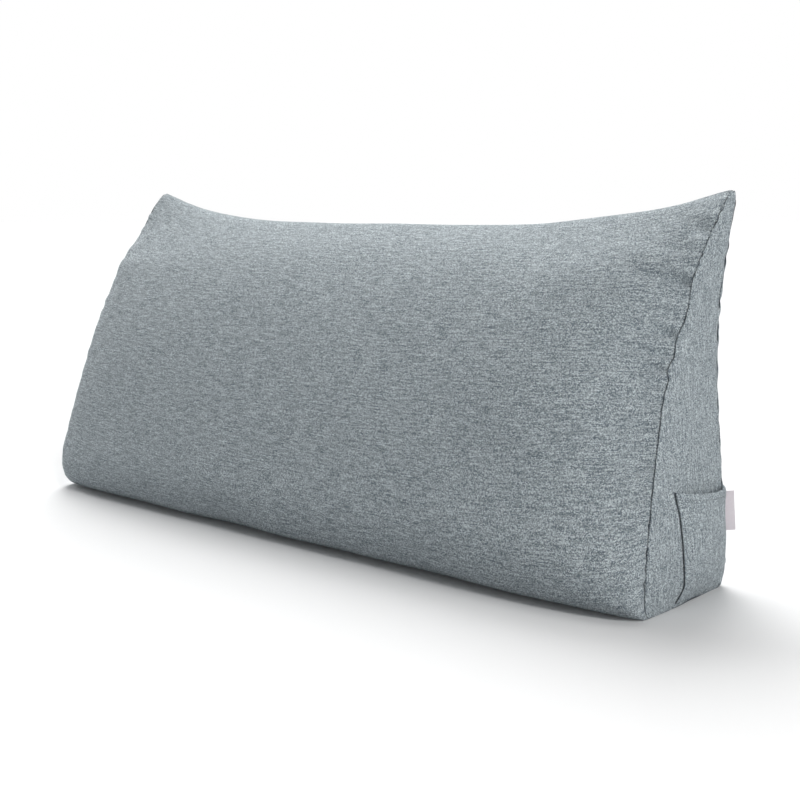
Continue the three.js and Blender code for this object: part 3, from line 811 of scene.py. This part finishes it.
lay_out = add_node(stitching, "GeometryNodeInstanceOnPoints", (0, 100))
realize = add_node(stitching, "GeometryNodeRealizeInstances", (250, 100))
smooth = add_node(stitching, "GeometryNodeSetShadeSmooth", (450, 100))
dress = add_node(stitching, "GeometryNodeSetMaterial", (650, 100))
dress.inputs["Material"].default_value = thread
for source, target in (
        (stitch_in.outputs["Geometry"], to_curve.inputs[0]),
        (to_curve.outputs[0], resample.inputs["Curve"]),
        (stitch_in.outputs["Stitch Spacing"], resample.inputs["Length"]),
        (resample.outputs[0], lay_out.inputs["Points"]),
        (tangent.outputs[0], turn.inputs["Vector"]),
        (turn.outputs[0], lay_out.inputs["Rotation"]),
        (bead.outputs["Mesh"], lay_out.inputs["Instance"]),
        (stitch_in.outputs["Stitch Length"], bead_size.inputs[0]),
        (stitch_in.outputs["Thread Thickness"], bead_size.inputs[1]),
        (stitch_in.outputs["Thread Thickness"], bead_size.inputs[2]),
        (bead_size.outputs[0], lay_out.inputs["Scale"]),
        (lay_out.outputs[0], realize.inputs[0]),
        (realize.outputs[0], smooth.inputs[0]),
        (smooth.outputs[0], dress.inputs[0]),
        (dress.outputs[0], stitch_out.inputs[0])):
    stitching.links.new(source, target)


def plain_result(carrier, tree, settings, name):
    """The evaluated result of a geometry tree on a carrier, as a plain mesh object."""
    modifier = carrier.modifiers.new(name, "NODES")
    modifier.node_group = tree
    for item in tree.interface.items_tree:
        if item.item_type == "SOCKET" and item.in_out == "INPUT" and item.name in settings:
            modifier[item.identifier] = settings[item.name]
    ready = carrier.evaluated_get(bpy.context.evaluated_depsgraph_get())
    mesh = bpy.data.meshes.new_from_object(ready)
    carrier.modifiers.remove(modifier)
    bpy.data.objects.remove(carrier)
    piece = bpy.data.objects.new(name, mesh)
    bpy.context.collection.objects.link(piece)
    return piece


hem_stitches = plain_result(stitch_line, stitching, {
    "Stitch Length": STITCH_LENGTH / 1000, "Stitch Spacing": STITCH_SPACING / 1000,
    "Thread Thickness": THREAD / 1000}, "hem_stitches")
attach(hem_stitches, "root")

# ---------------------------------------------------------------- the label
# A short woven ribbon, folded once and caught by both its ends in the rear
# seam of the right end. It is blank, and curls a little toward the rear.
LABEL_BOTTOM, LABEL_TOP = 71.0, 121.0
LABEL_REACH = 18.5
LABEL_CURL = 0.16
RIBBON = 0.42
LAYER_GAP = 0.36
LABEL_TUCK = 1.6

fold_radius = (RIBBON + LAYER_GAP) / 2
straight = LABEL_REACH - fold_radius - RIBBON / 2
out_run = np.concatenate([np.linspace(-LABEL_TUCK, straight, 20),
                          straight + fold_radius * np.sin(np.linspace(0, np.pi, 9))[1:-1],
                          np.linspace(straight, -LABEL_TUCK, 20)])
aside_run = np.concatenate([np.full(20, fold_radius),
                            fold_radius * np.cos(np.linspace(0, np.pi, 9))[1:-1],
                            np.full(20, -fold_radius)])
label_share = rounded_shares(26, 0.3, LABEL_TOP - LABEL_BOTTOM)


def on_rear_seam(z):
    """Where the rear seam runs at a height, as x and y."""
    return np.array([np.interp(z, rear_seam[:, 2], rear_seam[:, k]) for k in (0, 1)])


label_foot, label_head = on_rear_seam(LABEL_BOTTOM), on_rear_seam(LABEL_TOP)
label_rows = []
for share in label_share:
    z = mix(LABEL_BOTTOM, LABEL_TOP, share)
    reach_share = np.clip(out_run / LABEL_REACH, 0, 1)
    seam_x, seam_y = mix(on_rear_seam(z)[:, None], mix(label_foot, label_head, share)[:, None], reach_share)
    turn_angle = math.pi / 4 + LABEL_CURL * reach_share * (0.8 + 0.4 * share)
    ripple = 0.35 * reach_share * math.sin(2 * math.pi * share * 0.9 + 0.6)
    x = seam_x + np.cos(turn_angle) * out_run + np.sin(turn_angle) * (aside_run + ripple)
    y = seam_y + np.sin(turn_angle) * out_run - np.cos(turn_angle) * (aside_run + ripple)
    label_rows.append(np.stack([x, y, np.full(len(x), z)], 1))
label_middle = np.stack(label_rows)
label_out = grid_normals(label_middle, False)
if label_out[len(label_rows) // 2, 5] @ np.array([1.0, -1.0, 0.0]) < 0:
    label_out *= -1
ribbon_run = np.concatenate([np.zeros((len(label_rows), 1)), np.cumsum(
    np.linalg.norm(np.diff(label_middle, axis=1), axis=2), axis=1)], 1)
ribbon_side = np.broadcast_to((label_share * (LABEL_TOP - LABEL_BOTTOM))[:, None], ribbon_run.shape)
ribbon_edge = np.minimum(ribbon_side, (LABEL_TOP - LABEL_BOTTOM) - ribbon_side)
ribbon_edge = np.minimum(ribbon_edge, np.minimum(ribbon_run, ribbon_run[:, -1:] - ribbon_run))
label = thick_sheet("folded_label", label_middle, label_out, np.full(ribbon_run.shape, RIBBON),
                    ribbon_edge, np.stack([ribbon_run, ribbon_side], -1))

ribbon = bpy.data.materials.new("blank_ribbon")
ribbon.use_nodes = True
ribbon_tree = ribbon.node_tree
ribbon_shader = ribbon_tree.nodes["Principled BSDF"]
ribbon_map = add_node(ribbon_tree, "ShaderNodeUVMap", (-1100, 0), uv_map="cloth map")
ribbon_weave = add_node(ribbon_tree, "ShaderNodeGroup", (-850, 0))
ribbon_weave.node_tree = weave
ribbon_weave.inputs["Yarn Pitch"].default_value = 0.00045
ribbon_weave.inputs["Slub Length"].default_value = 0.006
ribbon_weave.inputs["Unevenness"].default_value = 0.15
ribbon_tree.links.new(ribbon_map.outputs[0], ribbon_weave.inputs["Cloth Map"])
ribbon_tone = add_node(ribbon_tree, "ShaderNodeMix", (-400, 100), data_type="RGBA")
ribbon_tone.inputs[6].default_value = (0.92, 0.845, 0.89, 1.0)
ribbon_tone.inputs[7].default_value = (0.97, 0.9, 0.94, 1.0)
ribbon_tree.links.new(ribbon_weave.outputs["Tone"], ribbon_tone.inputs[0])
ribbon_tree.links.new(ribbon_tone.outputs[2], ribbon_shader.inputs["Base Color"])
ribbon_bump = add_node(ribbon_tree, "ShaderNodeBump", (-400, -200))
ribbon_bump.inputs["Strength"].default_value = 0.5
ribbon_bump.inputs["Distance"].default_value = 0.00012
ribbon_tree.links.new(ribbon_weave.outputs["Height"], ribbon_bump.inputs["Height"])
ribbon_tree.links.new(ribbon_bump.outputs[0], ribbon_shader.inputs["Normal"])
ribbon_shader.inputs["Roughness"].default_value = 0.5
ribbon_shader.inputs["Sheen Weight"].default_value = 0.2
label.data.materials.append(ribbon)
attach(label, "root")
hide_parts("label")
